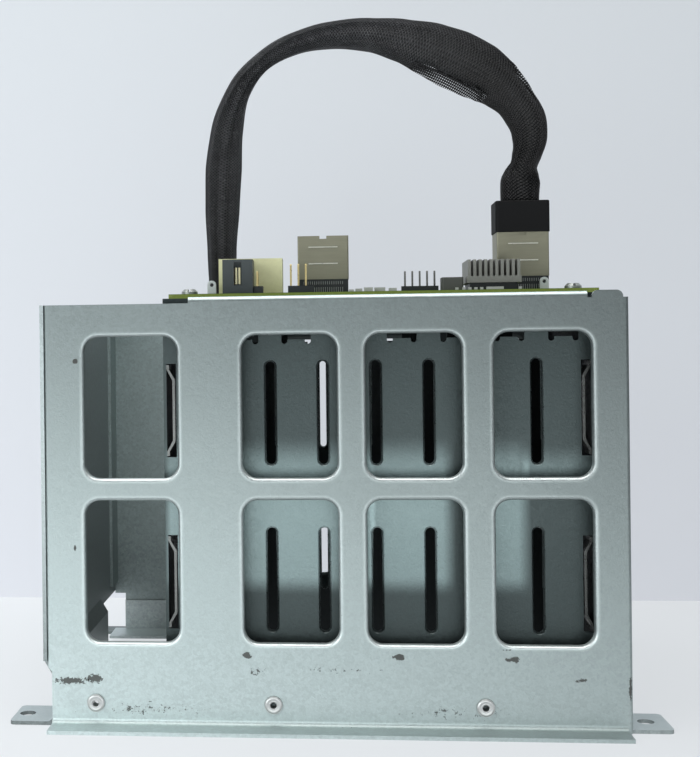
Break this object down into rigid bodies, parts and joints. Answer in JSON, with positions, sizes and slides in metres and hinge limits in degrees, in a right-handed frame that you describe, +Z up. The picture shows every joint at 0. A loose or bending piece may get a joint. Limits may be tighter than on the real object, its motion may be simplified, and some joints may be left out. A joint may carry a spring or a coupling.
{
  "type": "hot swap drive cage",
  "caption": "Sheet-steel cage that holds small drives side by side, plugged into a backplane board across its top, with a sleeved data cable looped over it.",
  "frame": {"origin": "middle of the cage's footprint, at the underside of its mouth flanges, which it stands on", "axes": "+X to the right across the bays as pictured, +Y from the near panel to the far panel, +Z up from the mouth to the board"},
  "size_m": [0.2074, 0.152, 0.2434],
  "materials": {
    "zinc_sheet": "zinc-coated sheet, dull and finely speckled",
    "spring_steel": "bright spring strip",
    "rivet_metal": "bare rivet metal",
    "circuit_board": "green solder mask on glass board",
    "screw_steel": "plated screw steel",
    "socket_shell": "warm grey plated shell",
    "black_moulding": "black connector moulding",
    "ivory_moulding": "ivory connector moulding",
    "gold_contact": "gold-flashed pins",
    "sink_aluminium": "extruded, unpainted",
    "choke_grey": "dark grey ferrite block",
    "white_nylon": "natural nylon",
    "white_ceramic": "ceramic chip parts",
    "plug_moulding": "black plug moulding",
    "latch_steel": "stamped steel",
    "braided_sleeve": "black braided sleeve"
  },
  "bodies": {
    "cage": {"backplane_board": "circuit_board", "black_power_header": "black_moulding", "board_clips": "white_nylon", "board_screws": "screw_steel", "choke": "choke_grey", "clinch_nuts": "screw_steel", "data_cable": "braided_sleeve", "data_core_1": "black_moulding", "data_core_2": "black_moulding", "data_shell_1": "socket_shell", "data_shell_2": "socket_shell", "drive_socket_1": "black_moulding", "drive_socket_2": "black_moulding", "drive_socket_3": "black_moulding", "drive_socket_4": "black_moulding", "drive_socket_5": "black_moulding", "drive_socket_6": "black_moulding", "drive_socket_7": "black_moulding", "drive_socket_8": "black_moulding", "expander_chip": "black_moulding", "fan_header_base": "black_moulding", "fan_header_pins": "gold_contact", "front_board_shelf": "zinc_sheet", "front_guide_plate": "zinc_sheet", "front_panel": "zinc_sheet", "front_rail": "zinc_sheet", "guide_springs": "spring_steel", "heat_sink": "sink_aluminium", "ivory_power_header": "ivory_moulding", "jumper_header_base": "black_moulding", "jumper_header_pins": "gold_contact", "left_bay_wall": "zinc_sheet", "left_side_panel": "zinc_sheet", "long_header_base": "black_moulding", "long_header_pins": "gold_contact", "plug_head": "plug_moulding", "plug_insert": "socket_shell", "plug_pin": "latch_steel", "power_pins": "gold_contact", "rear_board_shelf": "zinc_sheet", "rear_guide_plate": "zinc_sheet", "rear_panel": "zinc_sheet", "rear_rail": "zinc_sheet", "right_bay_wall": "zinc_sheet", "right_side_panel": "zinc_sheet", "shell_rivets": "rivet_metal", "spare_plug_head": "plug_moulding", "spare_plug_insert": "socket_shell", "spare_plug_pin": "latch_steel", "surface_parts": "white_ceramic"},
    "latch": {"plug_latch": "latch_steel"},
    "spare_latch": {"spare_plug_latch": "latch_steel"}
  },
  "joints": [
    {"name": "plug_latch_rock", "type": "hinge", "parent": "cage", "child": "latch", "pos_m": [0.0678, 0.00065, 0.1638], "axis": [1, 0, 0], "range_deg": [0, 5], "stiffness_Nm_per_rad": 0.05},
    {"name": "spare_plug_latch_rock", "type": "hinge", "parent": "cage", "child": "spare_latch", "pos_m": [-0.0414, 0.05065, 0.0305], "axis": [1, 0, 0], "range_deg": [0, 5], "stiffness_Nm_per_rad": 0.05}
  ]
}
